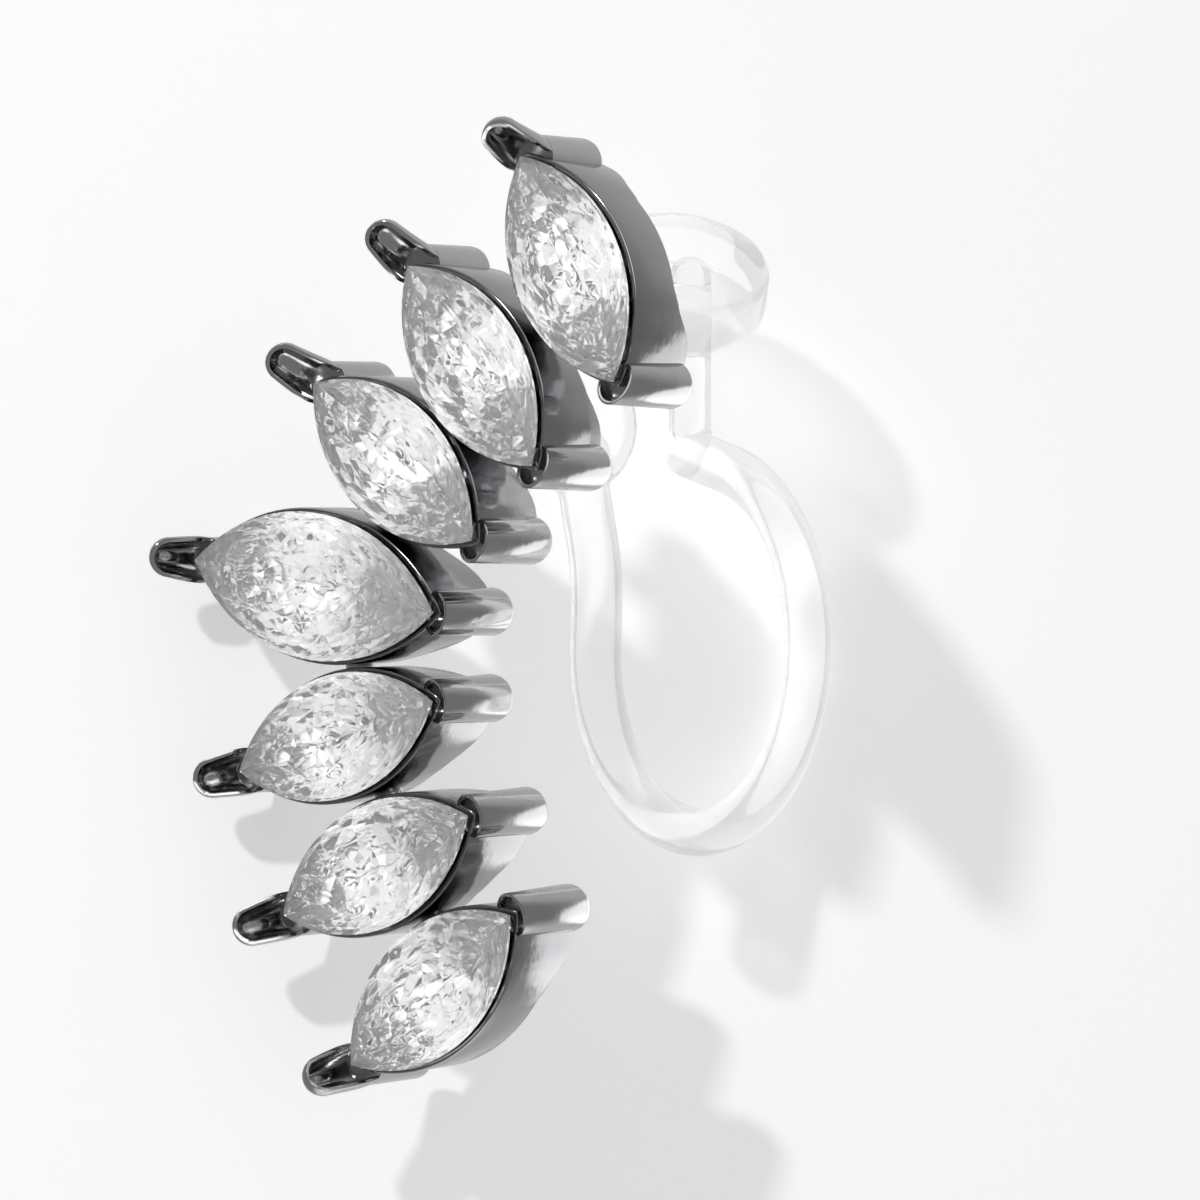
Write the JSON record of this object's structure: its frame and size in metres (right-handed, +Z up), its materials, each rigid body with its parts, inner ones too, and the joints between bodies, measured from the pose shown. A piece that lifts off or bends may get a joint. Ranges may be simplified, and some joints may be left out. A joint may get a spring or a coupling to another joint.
{
  "type": "clip-on earring",
  "caption": "Clip-on earring: a crescent of marquise stones in soldered claw cups, on a clear one-piece resin clip whose pad and back disc pinch the earlobe.",
  "frame": {"origin": "centre of the earring's footprint on the surface it lies on", "axes": "+Z up from that surface; the stones face -Y and up; the crescent runs along X with its top tip towards -X"},
  "size_m": [0.0182, 0.0158, 0.0114],
  "materials": {
    "polished_metal": "polished dark silver plating",
    "clear_stone": "colourless faceted stone, polished",
    "clear_resin": "clear moulded resin, glossy"
  },
  "bodies": {
    "root": {"setting_frame": "polished_metal", "stone_1": "clear_stone", "stone_2": "clear_stone", "stone_3": "clear_stone", "stone_4": "clear_stone", "stone_5": "clear_stone", "stone_6": "clear_stone", "stone_7": "clear_stone", "resin_clip": "clear_resin"}
  },
  "joints": []
}
